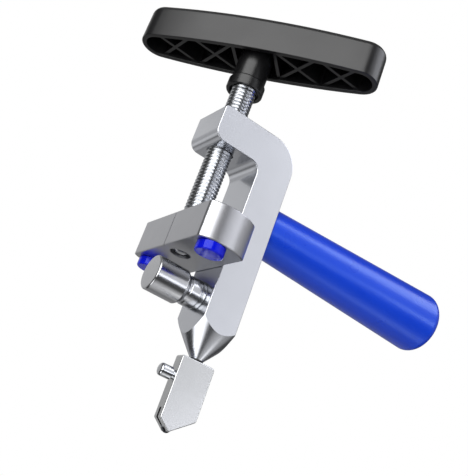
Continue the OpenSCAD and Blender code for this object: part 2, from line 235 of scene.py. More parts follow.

# %% [markdown]
# ## Cutting and joining
# Holes, slots and the pointed nose are cut out of the bar on the real tool. An exact boolean does
# the same here, and its result is kept as the mesh, so the piece has the real hole. A finished
# piece gets smooth shading, which its sharp edges and its flat faces would spoil, so the edges are
# marked sharp and the normals are weighted by the size of the faces.

# %% Booleans that are applied at once
def machine(piece, tool, how="DIFFERENCE"):
    """Cuts the tool out of the piece, or joins it on, and throws the tool away."""
    step = piece.modifiers.new("step", "BOOLEAN")
    step.operation = how
    step.solver = "EXACT"
    step.object = tool
    scene_state = bpy.context.evaluated_depsgraph_get()
    result = bpy.data.meshes.new_from_object(piece.evaluated_get(scene_state))
    piece.modifiers.clear()
    piece.data = result
    bpy.data.objects.remove(tool)


def finish_piece(piece, body, stands_for, material, sharp=28):
    """Shades a piece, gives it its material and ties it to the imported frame."""
    piece.data.polygons.foreach_set("use_smooth", [True] * len(piece.data.polygons))
    piece.data.set_sharp_from_angle(angle=math.radians(sharp))
    even = piece.modifiers.new("even_flats", "WEIGHTED_NORMAL")
    even.keep_sharp = True
    even.weight = 100
    piece.data.materials.clear()
    piece.data.materials.append(material)
    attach(piece, body)
    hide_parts(*stands_for)
    print(piece.name, len(piece.data.vertices), "points")


# %% [markdown]
# ## Colours and shader nodes
# A finish is described by a few nodes: where on the piece a point is, a pattern worked out from
# its place, and what that pattern does to colour, roughness and height. One helper adds a node
# with its settings and its links, so each finish reads as a short list. Colours are sRGB hex
# values, as a paint chart gives them, and one function turns them into the linear values that
# a renderer works in.

# %% Shader helpers
def linear(hex_colour):
    """Linear RGBA from an sRGB hex colour."""
    parts = [int(hex_colour[i:i + 2], 16) / 255 for i in (1, 3, 5)]
    return [c / 12.92 if c <= 0.04045 else ((c + 0.055) / 1.055) ** 2.4 for c in parts] + [1]


def add_node(tree, kind, settings=None, links=None):
    """Adds a shader node, sets its values and links its inputs."""
    made = tree.nodes.new(kind)
    for key, value in (settings or {}).items():
        if isinstance(key, str) and key.islower():
            setattr(made, key, value)
        else:
            made.inputs[key].default_value = value
    for key, source in (links or {}).items():
        tree.links.new(source, made.inputs[key])
    return made


def per_mm(size_mm):
    """Texture scale whose features are about this many millimetres across."""
    return 1 / (size_mm * MM)


print("mid grey #808080 is", [round(c, 3) for c in linear("#808080")])


# %% [markdown]
# ## Metal finishes
# All the bright parts are bare or plated metal, so they share one recipe: a metallic shader whose
# roughness and height follow fine tool marks, and whose colour drifts a little over a few
# millimetres, as oil and handling leave it. The marks are a noise drawn out along the way that the
# tool moved: linishing runs along a bar, and turning marks run round an axis. Real marks are
# some hundredths of a millimetre apart, which no view of the whole tool can show, so they
# are drawn several times coarser.

# %% Metal recipe
OIL_MM = 9


def metal(name, colour, dull, roughness, marks, mark_mm, depth_mm, drift=0.06):
    """Machined metal; marks are three factors that squeeze the pattern along X, Y and Z."""
    material = bpy.data.materials.new(name)
    material.use_nodes = True
    tree = material.node_tree
    shader = tree.nodes["Principled BSDF"]
    shader.inputs["Metallic"].default_value = 1
    place = add_node(tree, "ShaderNodeTexCoord")
    lines = add_node(tree, "ShaderNodeMapping", {"Scale": marks},
                     {"Vector": place.outputs["Object"]})
    scratch = add_node(tree, "ShaderNodeTexNoise",
                       {"Scale": per_mm(mark_mm), "Detail": 3, "Roughness": 0.6},
                       {"Vector": lines.outputs[0]})
    cloud = add_node(tree, "ShaderNodeTexNoise", {"Scale": per_mm(OIL_MM), "Detail": 2},
                     {"Vector": place.outputs["Object"]})
    tint = add_node(tree, "ShaderNodeMix",
                    {"data_type": "RGBA", 6: linear(colour), 7: linear(dull)},
                    {0: cloud.outputs["Fac"]})
    rough = add_node(tree, "ShaderNodeMapRange",
                     {"From Min": 0.3, "From Max": 0.7, "To Min": roughness - drift / 2,
                      "To Max": roughness + drift}, {"Value": scratch.outputs["Fac"]})
    height = add_node(tree, "ShaderNodeBump", {"Strength": 0.35, "Distance": depth_mm * MM},
                      {"Height": scratch.outputs["Fac"]})
    tree.links.new(tint.outputs[2], shader.inputs["Base Color"])
    tree.links.new(rough.outputs[0], shader.inputs["Roughness"])
    tree.links.new(height.outputs[0], shader.inputs["Normal"])
    return material


# Marks drawn out along Z, marks that run round X or round Z, and marks with no direction
ALONG_Z = (1, 1, 0.04)
ROUND_X = (8, 0.6, 0.6)
ROUND_Z = (1, 1, 6)
EVEN = (1, 1, 1)

# %% [markdown]
# ## Aluminium
# The frame is aluminium bar finished on a linishing belt, whose fine lines run along it. They
# spread what the flat sides mirror into one even pale grey. The press block is blasted with fine
# beads: small dents with no direction make it a shade darker and satin, and its round ends still
# show where they face the light.

# %% Linished and blasted aluminium
linished_aluminium = metal("linished_aluminium", "#DCDEE4", "#D4D6DC", 0.22, ALONG_Z, 0.5, 0.0015,
                           0.012)
blasted_aluminium = metal("blasted_aluminium", "#C9CACE", "#BEBFC4", 0.3, EVEN, 0.25, 0.006)
print("aluminium:", linished_aluminium.name, blasted_aluminium.name)

# %% [markdown]
# ## Steel, zinc and bronze
# Bright zinc on the screw is smooth and pale, so every thread flashes. The pin is turned steel:
# faint rings round its axis draw the light out into long bands. Small hardware is bright steel,
# which mirrors the room most sharply. Satin nickel gives the head one calm, even grey. The wheel
# is ground carbide, a dark grey that hardly shines, and the hidden washer and insert are turned
# bronze, which is yellow.

# %% Plated, turned and ground metals
zinc_plate = metal("bright_zinc_plate", "#D2D4D8", "#C8CBCF", 0.2, ROUND_Z, 0.8, 0.003)
turned_steel = metal("turned_steel", "#CFD0D3", "#C3C4C8", 0.2, ROUND_X, 0.6, 0.006)
bright_steel = metal("bright_steel", "#D8DADD", "#C9CBCF", 0.14, EVEN, 0.6, 0.006)
satin_nickel = metal("satin_nickel", "#D6D7D8", "#CDCECF", 0.22, ALONG_Z, 0.4, 0.0006, 0.012)
carbide = metal("ground_carbide", "#45474B", "#3A3C40", 0.3, EVEN, 0.2, 0.006)
bronze = metal("turned_bronze", "#C6A560", "#B0904D", 0.25, EVEN, 0.5, 0.006)
print("other metals:", ", ".join(m.name for m in (zinc_plate, turned_steel, bright_steel,
                                                 satin_nickel, carbide, bronze)))

# %% [markdown]
# ## Moulded finishes
# The T-handle, the grip and the feet are moulded, so their faces copy the mould: a fine even grain
# on the handle and nearly smooth on the grip and feet. The colour goes all through and is a
# little paler where the surface is rubbed. Vinyl and urethane come out of the mould with a clear
# glossy skin, which is drawn as a thin coat over a slightly blue sheen.

# %% Plastic recipe
RUBBED_MM = 14


def moulded(name, colour, rubbed, roughness, grain_mm, depth_mm, ior, skin_gloss=0,
            skin_colour="#FFFFFF", sheen_drift=0.05):
    """Moulded plastic or rubber with its mould's grain, and a clear glossy skin if it has one."""
    material = bpy.data.materials.new(name)
    material.use_nodes = True
    tree = material.node_tree
    shader = tree.nodes["Principled BSDF"]
    shader.inputs["IOR"].default_value = ior
    shader.inputs["Specular Tint"].default_value = linear(skin_colour)
    shader.inputs["Coat Weight"].default_value = skin_gloss
    shader.inputs["Coat Roughness"].default_value = roughness
    place = add_node(tree, "ShaderNodeTexCoord")
    grain = add_node(tree, "ShaderNodeTexNoise",
                     {"Scale": per_mm(grain_mm), "Detail": 2, "Roughness": 0.5},
                     {"Vector": place.outputs["Object"]})
    cloud = add_node(tree, "ShaderNodeTexNoise", {"Scale": per_mm(RUBBED_MM), "Detail": 3},
                     {"Vector": place.outputs["Object"]})
    tint = add_node(tree, "ShaderNodeMix",
                    {"data_type": "RGBA", 6: linear(colour), 7: linear(rubbed)},
                    {0: cloud.outputs["Fac"]})
    rough = add_node(tree, "ShaderNodeMapRange",
                     {"From Min": 0.3, "From Max": 0.7, "To Min": roughness,
                      "To Max": roughness + sheen_drift}, {"Value": cloud.outputs["Fac"]})
    height = add_node(tree, "ShaderNodeBump", {"Strength": 0.4, "Distance": depth_mm * MM},
                      {"Height": grain.outputs["Fac"]})
    tree.links.new(tint.outputs[2], shader.inputs["Base Color"])
    tree.links.new(rough.outputs[0], shader.inputs["Roughness"])
    tree.links.new(height.outputs[0], shader.inputs["Normal"])
    return material


# %% [markdown]
# ## Nylon, vinyl, urethane and rubber
# Black nylon shows a soft grey sheen where it faces the light and swallows the rest. Blue vinyl
# is smooth enough for long soft bands along the grip. The urethane feet are deeper in colour and
# glossier, so their highlights are small and bright. The washer is plain matt rubber. The grain
# of the nylon is about a third of a millimetre, and vinyl and urethane have faint waves of about
# one millimetre, as the mould's polish leaves them.

# %% Moulded materials
black_nylon = moulded("moulded_black_nylon", "#0C0C0D", "#121213", 0.28, 0.35, 0.006, 1.53)
blue_vinyl = moulded("moulded_blue_vinyl", "#0334BE", "#083AC6", 0.27, 1.2, 0.004, 1.53, 0.4,
                     "#78C8FF")
blue_urethane = moulded("moulded_blue_urethane", "#040EB4", "#0814BE", 0.14, 1.0, 0.003, 1.5, 0.2,
                        "#8EA0FF")
black_rubber = moulded("black_rubber", "#161617", "#1E1E1F", 0.5, 0.3, 0.01, 1.5)
print("moulded finishes:", black_nylon.name, blue_vinyl.name, blue_urethane.name)

# %% [markdown]
# ## The C-shaped frame
# The frame is machined from thick aluminium bar into a C, and its lower end is turned to a blunt
# point. It is drawn as one side outline and pulled across. The radii are those a milling cutter
# leaves inside and a file leaves outside.

# %% Frame bar
spine_in = collar_high.x
spine_out = 27.8
arm_under = 55.5
back_corner_r = 12
arm_tip_top_r = 1.2
arm_tip_under_r = 4
throat_r = 4.5
bar = slab("frame_bar", rounded([
    (spine_in, frame_low.z, 0), (spine_out, frame_low.z, 0),
    (spine_out, frame_high.z, back_corner_r), (frame_low.x, frame_high.z, arm_tip_top_r),
    (frame_low.x, arm_under, arm_tip_under_r), (spine_in, arm_under, throat_r)],
    steps=16), frame_low.y, frame_high.y, "Y", edge=0.35)
print("bar made,", len(bar.data.vertices), "points")

# %% [markdown]
# ## The turned nose
# The point is cut by a ring whose inside is the nose's profile, just as a lathe tool would leave
# it. Where the round point meets the flat sides, this gives the curved edges that the real bar
# has. The flank bulges a little between its two ends, as a hand-blended cone does.

# %% Nose
post_low, post_high = box_mm("cutter_post")
nose_x = (post_low.x + post_high.x) / 2
nose_top = -7.9
nose_r = 2.6
flank_bulge = 0.2
flank_steps = 16
clear = 30
shoulder_r = math.hypot(nose_x - spine_in, frame_high.y)
bulge = Vector((nose_top - frame_low.z, nose_r - shoulder_r)).normalized() * flank_bulge
flank = []
for i in range(flank_steps + 1):
    t = i / flank_steps
    straight = Vector((shoulder_r, nose_top)).lerp(Vector((nose_r, frame_low.z)), t)
    flank.append(straight + bulge * 4 * t * (1 - t))
waste = [(nose_top, clear)] + [(p.y, p.x) for p in flank] + [(frame_low.z - 1, nose_r),
                                                             (frame_low.z - 1, clear)]
machine(bar, turned("nose_cutter", waste, "Z", (nose_x, 0), hollow=True))
print("nose", round(nose_top - frame_low.z, 1), "mm long")

# %% [markdown]
# ## Drilled holes
# The screw's hole goes through the arm and is countersunk at both ends. The other three are blind
# holes for the pin's stud, the grip's stud and the head's post. Each drill is a turned piece too.

# %% Holes in the frame
screw_r = 5.0
run_gap = 0.05
lip = 0.4
stud_r = 3.0
grip_stud_r = 4.0
post_r = 1.6
mouth_r = screw_r + lip + run_gap
drill = [(arm_under - 1, 0), (arm_under - 1, mouth_r), (arm_under, mouth_r),
         (arm_under + lip, screw_r + run_gap), (frame_high.z - lip, screw_r + run_gap),
         (frame_high.z, mouth_r), (frame_high.z + 1, mouth_r), (frame_high.z + 1, 0)]
machine(bar, turned("screw_drill", drill, "Z"))
grip_low, grip_high = box_mm("grip")
grip_z = (grip_low.z + grip_high.z) / 2
stud_start = box_mm("grip_stud")[0].x


def blind_hole(name, start, end, radius, axis, centre=(0, 0)):
    """Drills the frame from one place to another along an axis."""
    machine(bar, turned(name, [(start, 0), (start, radius), (end, radius), (end, 0)], axis, centre))


blind_hole("anvil_drill", spine_in - 1, pin_high.x, stud_r, "X")
blind_hole("grip_drill", stud_start, grip_low.x + 1, grip_stud_r, "X", (0, grip_z))
blind_hole("post_drill", frame_low.z - 1, post_high.z, post_r, "Z", (nose_x, 0))
finish_piece(bar, "frame", ["c_frame"], linished_aluminium)

# %% [markdown]
# ## The lead screw
# The screw is an M10 rod with a pitch of 1.5 mm, plated bright. A thread is a tooth carried round a
# helix, so the rows of this mesh climb with the helix: after one turn each row arrives where the
# row one pitch above it began, and the crests run unbroken. Below the thread a plain journal with
# a groove turns in the press block, and its rings are joined to the first row.

# %% Threaded rod
pitch = 1.5
end_chamfer = 1
# Share of the pitch and depth below the crest: a flat crest, two straight flanks, a round root
tooth = [(0.0, 0.0), (0.06, 0.0), (0.1, 0.07), (0.36, 0.74), (0.44, 0.8), (0.56, 0.8), (0.64, 0.74),
         (0.9, 0.07), (0.94, 0.0)]


def tooth_depth(share):
    """Depth below the crest at a share of the pitch."""
    share %= 1
    for (a, low), (b, high) in zip(tooth, tooth[1:] + [(1.0, 0.0)]):
        if share <= b:
            return low + (high - low) * (share - a) / (b - a)
    return 0


def threaded_rod(name, low, high, radius, tail, columns=72):
    """A threaded rod up the Z axis; the tail is a turned profile below its first row."""
    turns = [2 * math.pi * k / columns for k in range(columns)]
    rows = int((high - low) / pitch + 3) * len(tooth)
    shape = bmesh.new()
    grid = [[shape.verts.new(Vector((r * math.cos(a), r * math.sin(a), z)) * MM) for a in turns]
            for z, r in tail]
    plain = len(grid)
    for row in range(rows):
        loop = []
        for k, a in enumerate(turns):
            lead = row // len(tooth) + tooth[row % len(tooth)][0] + k / columns
            z = min(max(low + pitch * (lead - 1), low), high)
            r = radius - tooth_depth((z - low) / pitch - k / columns)
            r = min(r, radius - end_chamfer + (z - low), radius - end_chamfer + (high - z))
            loop.append(shape.verts.new(Vector((r * math.cos(a), r * math.sin(a), z)) * MM))
        grid.append(loop)
    for row in range(len(grid) - 1):
        for k in range(columns):
            over = 0 if k < columns - 1 or row < plain else len(tooth)
            if row + 1 + over < len(grid):
                j = (k + 1) % columns
                shape.faces.new((grid[row][k], grid[row + over][j],
                                 grid[row + 1 + (over if row >= plain else 0)][j], grid[row + 1][k]))
    bmesh.ops.remove_doubles(shape, verts=shape.verts, dist=WELD * MM)
    rims = [edge for edge in shape.edges if edge.is_boundary]
    bmesh.ops.holes_fill(shape, edges=rims, sides=0)
    return linked_piece(name, shape)


rod_low, rod_high = box_mm("lead_screw")
ring_low, ring_high = box_mm("retaining_ring")
thrust_low, thrust_high = box_mm("thrust_washer")
shoulder_z = thrust_high.z + run_gap
journal_r = 2.6
groove_r = 2.1
dome_h = 1.1
dome_flat_r = 0.2
tail = [(rod_low.z + dome_h * (1 - math.cos(a)), max(journal_r * math.sin(a), dome_flat_r))
        for a in [math.pi / 20 * i for i in range(11)]]
tail += [(ring_low.z, journal_r), (ring_low.z, groove_r), (ring_high.z, groove_r),
         (ring_high.z, journal_r), (shoulder_z, journal_r)]
rod = threaded_rod("lead_screw_rod", shoulder_z, rod_high.z, screw_r, tail)
finish_piece(rod, "screw", ["lead_screw"], zinc_plate, sharp=40)

# %% [markdown]
# ## The retaining ring
# A spring clip in the journal's groove keeps the press block on the screw. It is an open ring, so
# it is made as a small rectangle swept most of the way round, with its gap at the back.

# %% Retaining ring
clip_r = ring_high.x
clip_edge = 0.15
clip_start = 75
clip_sweep = 330
clip_steps = 60
clip_section = rounded([(groove_r, ring_low.z, clip_edge), (clip_r, ring_low.z, clip_edge),
                        (clip_r, ring_high.z, clip_edge), (groove_r, ring_high.z, clip_edge)],
                       steps=3)
clip_rings = []
for i in range(clip_steps + 1):
    a = math.radians(clip_start + clip_sweep * i / clip_steps)
    clip_rings.append([Vector((p.x * math.cos(a), p.x * math.sin(a), p.y)) for p in clip_section])
finish_piece(skin("retaining_clip", clip_rings), "screw", ["retaining_ring"],
             bright_steel)

# %% [markdown]
# ## The T-handle
# The handle is one hollow moulding, open below: a boat-shaped shell, cross ribs that keep it
# stiff, and a hub moulded round a nut on the screw. The shell's outline is four arcs that
# run into each other, so it can be grown or shrunk by changing their radii, and the wall, the rim
# and the soft top edge are all copies of it at other heights.

# %% Handle outline and shell
tee_turn = -43.7
tee_half = 51.0
tee_half_w = 10.8
tee_end_r = 8.0
tee_wall = 2.2
tee_roof = 3.0
tee_rim = 99.1
tee_edge = 3.0
end_x = tee_half - tee_end_r
side_r = (end_x ** 2 + (tee_half_w - tee_end_r) ** 2) / (2 * (tee_half_w - tee_end_r)) + tee_end_r
lean = math.degrees(math.asin(end_x / (side_r - tee_end_r)))


def tee_ring(inward, z):
    """The handle's outline, drawn in by a distance, at a height."""
    far = side_r - tee_half_w
    points = (arc((end_x, 0), tee_end_r - inward, lean - 90, 90 - lean, 16)[:-1]
              + arc((0, -far), side_r - inward, 90 - lean, 90 + lean, 24)[:-1]
              + arc((-end_x, 0), tee_end_r - inward, 90 + lean, 270 - lean, 16)[:-1]
              + arc((0, far), side_r - inward, 270 - lean, 270 + lean, 24)[:-1])
    spin = Quaternion((0, 0, 1), math.radians(tee_turn))
    return [spin @ Vector((p.x, p.y, z)) for p in points]


def quarter(inward, z, radius, up, steps=6):
    """Insets and heights of a rounded rim that starts on a wall and ends on a flat."""
    turns = [math.pi / 2 * i / steps for i in range(steps + 1)]
    return [(inward + radius * (1 - math.cos(a)), z + up * radius * math.sin(a)) for a in turns]


roof_z = tee_high.z - tee_roof
rim_edge = 0.35
inner_corner_r = 1.2
inside = quarter(tee_wall, roof_z - inner_corner_r, inner_corner_r, 1)[::-1]
rim_in = [(tee_wall, tee_rim + rim_edge), (tee_wall - rim_edge * 0.3, tee_rim + rim_edge * 0.3),
          (tee_wall - rim_edge, tee_rim)]
rim_out = quarter(0, tee_rim + rim_edge, rim_edge, -1, 3)[::-1]
outside = quarter(0, tee_high.z - tee_edge, tee_edge, 1, 8)
shell = skin("tee_handle", [tee_ring(by, z) for by, z in inside + rim_in + rim_out + outside])
print("shell", [round(v, 1) for v in (tee_high - tee_low)], "mm")

# %% [markdown]
# ## Ribs under the handle
# A thin moulding is stiffened by ribs, here two X shapes and one cross wall on each side of the
# hub. Each rib is a plain upright strip, trimmed to the shell's own outline and joined to it, so
# it ends in the wall wherever the outline curves.

# %% Ribs
hub_r = 6.9
rib_t = 1.4
rib_recess = 1.0
rib_gap = 2
inner_w = 2 * (tee_half_w - tee_wall)
bay = (end_x - hub_r) / 2
ribs = []
for side in (-1, 1):
    ribs.append((side * (hub_r + rib_gap), 90, 2 * inner_w))
    for k in (0.5, 1.5):
        ribs += [(side * (hub_r + rib_gap + bay * k), lay, 1.6 * inner_w) for lay in (-45, 45)]
for place, lay, length in ribs:
    spin = Quaternion((0, 0, 1), math.radians(tee_turn))
    along = spin @ Quaternion((0, 0, 1), math.radians(lay)) @ Vector((length / 2, 0, 0))
    across = spin @ Quaternion((0, 0, 1), math.radians(lay)) @ Vector((0, rib_t / 2, 0))
    middle = spin @ Vector((place, 0, 0))
    foot = [middle + along + across, middle - along + across, middle - along - across,
            middle + along - across]
    rib = skin("rib", [[p + Vector((0, 0, z)) for p in foot]
                       for z in (tee_rim + rib_recess, roof_z + 0.3)])
    trim = skin("trim", [tee_ring(tee_wall / 2, z) for z in (tee_rim + 0.2, roof_z + 0.5)])
    machine(rib, trim, "INTERSECT")
    machine(shell, rib, "UNION")
print("ribs:", len(ribs))

# %% [markdown]
# ## The hub
# The hub is a round boss with a thicker skirt at its foot, which keeps the plastic from splitting
# round the nut. It is turned, joined to the shell, and drilled for the screw.

# %% Hub
skirt_r = 7.6
skirt_h = 4.6
hub_profile = [(tee_low.z, 0), (tee_low.z, skirt_r - 0.5), (tee_low.z + 0.15, skirt_r - 0.15),
               (tee_low.z + 0.5, skirt_r), (tee_low.z + skirt_h - 0.5, skirt_r),
               (tee_low.z + skirt_h - 0.15, skirt_r - 0.2), (tee_low.z + skirt_h, hub_r + 0.2),
               (tee_low.z + skirt_h + 0.3, hub_r), (roof_z + 0.4, hub_r), (roof_z + 0.4, 0)]
machine(shell, turned("hub", hub_profile, "Z"), "UNION")
recess_r = screw_r + 1
recess_h = 1.6
recess_edge = 0.3
bore_profile = [(tee_low.z - 1, 0), (tee_low.z - 1, recess_r + recess_edge),
                (tee_low.z, recess_r + recess_edge), (tee_low.z + recess_edge, recess_r),
                (tee_low.z + recess_h, recess_r), (tee_low.z + recess_h, screw_r),
                (rod_high.z, screw_r), (rod_high.z, 0)]
machine(shell, turned("hub_drill", bore_profile, "Z"))
finish_piece(shell, "screw", ["t_handle"], black_nylon)

# %% [markdown]
# ## The press block
# A block of bar with round ends rides up and down on the screw's end. Its front and back faces are
# flat and its ends are turned to one large radius, which leaves a tight corner at the front.
# A fine centre mark is scribed down the front face, and it is part of the outline here.

# %% Press block
block_end_r = 15.8
end_mid = Vector((1.9, 28.7 - block_end_r))
front_r = 2.2
back_r = 1.0
mark = 0.45


def corner_centre(x, facing, radius):
    """Centre of the small arc between a straight face and a block's end, at the far end."""
    across = x - facing * radius
    along = math.sqrt((block_end_r - radius) ** 2 - (across - end_mid.x) ** 2)
    return Vector((across, end_mid.y + along))


front_c = corner_centre(block_low.x, -1, front_r)
back_c = corner_centre(block_high.x, 1, back_r)
front_a = math.degrees(math.atan2(front_c.y - end_mid.y, front_c.x - end_mid.x))
back_a = math.degrees(math.atan2(back_c.y - end_mid.y, back_c.x - end_mid.x))
far_end = (arc(back_c, back_r, 0, back_a, 6)[:-1]
           + arc(end_mid, block_end_r, back_a, front_a, 40)[:-1]
           + arc(front_c, front_r, front_a, 180, 8))
near_end = [Vector((p.x, -p.y)) for p in reversed(far_end)]
scribe = [Vector((block_low.x, mark / 2)), Vector((block_low.x + mark, mark / 2)),
          Vector((block_low.x + mark, -mark / 2)), Vector((block_low.x, -mark / 2))]
block = slab("press_block_body", far_end + scribe + near_end, block_low.z, block_high.z, "Z",
             edge=0.45)
print("block", [round(v, 1) for v in (block_high - block_low)], "mm")

# %% [markdown]
# ## Bores of the press block
# The screw's journal turns in a stepped bore: a seat above for the washer, and a wider pocket
# below where the spring clip sits. Two blind holes take the stems of the feet.

# %% Stepped bore and foot holes
seat_r = 5.4
seat_z = thrust_low.z
seat_edge = 0.3
pocket_r = 4.0
pocket_z = ring_high.z + run_gap
pocket_edge = 0.2
stepped = [(block_low.z - 1, 0), (block_low.z - 1, pocket_r + pocket_edge),
           (block_low.z, pocket_r + pocket_edge), (block_low.z + pocket_edge, pocket_r),
           (pocket_z, pocket_r), (pocket_z, journal_r + run_gap), (seat_z, journal_r + run_gap),
           (seat_z, seat_r), (block_high.z - seat_edge, seat_r),
           (block_high.z, seat_r + seat_edge), (block_high.z + 1, seat_r + seat_edge),
           (block_high.z + 1, 0)]
machine(block, turned("step_drill", stepped, "Z"))
foot_y = 23.0
stem_r = 2.8
hole_h = 7.5
for side in (-1, 1):
    hole = [(block_low.z - 1, 0), (block_low.z - 1, stem_r), (block_low.z + hole_h, stem_r),
            (block_low.z + hole_h, 0)]
    machine(block, turned("foot_drill", hole, "Z", (0, side * foot_y), segments=48))
finish_piece(block, "press", ["press_block"], blasted_aluminium)

# %% [markdown]
# ## The two feet
# Blue urethane buttons, pushed into the block by their stems, press on the sheet without chipping
# it. They are moulded with a broken edge, and are turned here from one profile.

# %% Feet
pad_edge = 0.7
pad_turns = [math.pi / 12 * i for i in range(7)]
for side, part in ((-1, "foot_near"), (1, "foot_far")):
    low, high = box_mm(part)
    pad_r = (high.x - low.x) / 2
    rim = [(low.z + pad_edge * (1 - math.cos(a)), pad_r - pad_edge + pad_edge * math.sin(a))
           for a in pad_turns]
    button = [(low.z, 0)] + rim + [(block_low.z - 0.25, pad_r), (block_low.z - 0.03, pad_r - 0.2),
                                   (block_low.z - 0.03, stem_r), (high.z - 0.4, stem_r),
                                   (high.z, stem_r - 0.4), (high.z, 0)]
    finish_piece(turned("button_" + part, button, "Z", (0, side * foot_y)), "press", [part],
                 blue_urethane)

# %% [markdown]
# ## The anvil pin
# The sheet is laid over this round steel pin with the scored line along it, and the two feet push
# it down on either side. The pin is turned and polished: its front edge is rounded, the back of
# its head tapers to a narrow relief, and a thick neck runs on to a collar at the frame.

# %% Anvil pin
pin_r = pin_high.z
head_end = pin_low.x + 14.6
taper = 2.0
front_edge = 0.8
relief_r = 5.25
relief_w = 0.7
neck_r = 5.75
neck_edge = 0.25
neck_start = head_end + relief_w
front_round = [(pin_low.x + front_edge * (1 - math.sin(a)), pin_r - front_edge * (1 - math.cos(a)))
               for a in [math.pi / 16 * (8 - i) for i in range(9)]]
pin_profile = [(pin_low.x, 0)] + front_round
pin_profile += [(head_end - taper - 0.2, pin_r), (head_end - taper + 0.2, pin_r - 0.12),
                (head_end - 0.15, relief_r + 0.25), (head_end, relief_r), (neck_start, relief_r),
                (neck_start, neck_r - neck_edge), (neck_start + neck_edge, neck_r),
                (collar_low.x - 0.2, neck_r), (collar_low.x, neck_r - 0.2), (collar_low.x, stud_r),
                (pin_high.x, stud_r), (pin_high.x, 0)]
finish_piece(turned("anvil_pin_body", pin_profile, "X"), "frame", ["anvil_pin"],
             turned_steel)

# %% Collar
collar_r = collar_high.z
collar_profile = [(collar_low.x, stud_r), (collar_low.x, collar_r - 0.3),
                  (collar_low.x + 0.1, collar_r - 0.1), (collar_low.x + 0.3, collar_r),
                  (collar_high.x - 0.3, collar_r), (collar_high.x - 0.1, collar_r - 0.1),
                  (collar_high.x, collar_r - 0.3), (collar_high.x, stud_r)]
finish_piece(turned("anvil_collar_ring", collar_profile, "X", hollow=True), "frame",
             ["anvil_collar"], bright_steel)

# %% [markdown]
# ## The grip
# The blue side grip is a tapered vinyl moulding on a stud, thicker at its free end, whose edge is
# well rounded. A lathe profile gives it, with the bore for its threaded insert.

# %% Grip
grip_r1 = 10.0
grip_r2 = grip_high.y
grip_edge = 4.5
insert_r = 6
bore_end = box_mm("grip_insert")[1].x + 1
tail_round = arc((grip_high.x - grip_edge, grip_r2 - grip_edge), grip_edge, 90, 0, 14)
grip_profile = [(bore_end, 0), (bore_end, insert_r), (grip_low.x, insert_r),
                (grip_low.x, grip_r1 - 0.5), (grip_low.x + 0.15, grip_r1 - 0.15),
                (grip_low.x + 0.5, grip_r1)]
grip_profile += [(p.x, p.y) for p in tail_round] + [(grip_high.x, 0)]
finish_piece(turned("grip_sleeve", grip_profile, "X", (0, grip_z), segments=128), "frame", ["grip"],
             blue_vinyl)

# %% [markdown]
# ## The cutter head
# A flat steel head hangs from a post in the nose. It is a plate with a slanted foot, sawn up from
# below with a slot for the scoring wheel, which turns on a short axle at the tip. A screw in its
# front edge locks it on the post.

# %% Head plate
wheel_low, wheel_high = box_mm("cutter_wheel")
wheel_z = (wheel_low.z + wheel_high.z) / 2
tip_x = (wheel_low.x + wheel_high.x) / 2
slope_back = head_high.z - 20.6
slope_front = head_high.z - 23.7
# Corners from the lower front one upwards and round to the tip, each with its radius
plate = slab("cutter_head_plate", rounded([
    (head_low.x, slope_front, 0.7), (head_low.x, head_high.z, 0.8), (head_high.x, head_high.z, 1.2),
    (head_high.x, slope_back, 1.8), (tip_x, head_low.z, 0.6)], steps=6),
    head_low.y, head_high.y, "Y", edge=0.38)
print("plate", [round(v, 1) for v in (head_high - head_low)], "mm")

# %% [markdown]
# ## Slot and holes of the head
# A saw cut a little wider than the wheel opens the slanted foot. The plate is then drilled three times:
# from above for the post, from the front for the lock screw, and across the slot for the axle.

# %% Slot and holes
slot_half = 0.65
slot_top = head_high.z - 20
slot_back = tip_x + 3.2
saw_depth = 10
post_bore_r = post_r + run_gap
lock_bore_r = 1.35
axle_r = 0.7
lock_z = head_high.z - 7.8
saw = [Vector((head_low.x - 1, slope_front - saw_depth)),
       Vector((slot_back, slope_front - saw_depth)), Vector((slot_back, slot_top)),
       Vector((head_low.x - 1, slot_top))]
machine(plate, slab("saw", saw, -slot_half, slot_half, "Y", edge=0.02, steps=1))
drills = [("post_drill", post_low.z - 0.5, head_high.z + 1, post_bore_r, "Z", (nose_x, 0), 48),
          ("lock_drill", head_low.x - 1, nose_x, lock_bore_r, "X", (0, lock_z), 48),
          ("axle_drill", -4, 4, axle_r, "Y", (tip_x, wheel_z), 32)]
for name, start, end, radius, axis, centre, sides in drills:
    machine(plate, turned(name, [(start, 0), (start, radius), (end, radius), (end, 0)], axis, centre,
                          segments=sides))
finish_piece(plate, "head", ["cutter_head"], satin_nickel)

# %% [markdown]
# ## Lock screw, wheel and axle
# The lock screw has a round end to be gripped by two fingers and a thin neck behind it. The wheel
# is a small disc ground to an edge on both sides, and its axle lies flush with the plate.

# %% Lock screw
lock_low, lock_high = box_mm("head_lock_screw")
lock_r = (lock_high.y - lock_low.y) / 2
dome_r = 1.1
lock_neck_r = 1.7
lock_neck_w = 0.9
lock_thread_r = 1.3
lock_neck_x = head_low.x - 0.95
dome = [(p.x, p.y) for p in arc((lock_low.x + dome_r, lock_r - dome_r), dome_r, 180, 90, 8)]
lock_profile = [(lock_low.x, 0)] + dome
lock_profile += [(lock_neck_x - 0.3, lock_r), (lock_neck_x, lock_r - 0.3),
                 (lock_neck_x, lock_neck_r), (lock_neck_x + lock_neck_w, lock_neck_r),
                 (lock_neck_x + lock_neck_w, lock_thread_r), (lock_high.x, lock_thread_r),
                 (lock_high.x, 0)]
lock = turned("lock_screw_body", lock_profile, "X", (0, lock_z), segments=64)
finish_piece(lock, "lock_screw", ["head_lock_screw"], bright_steel)

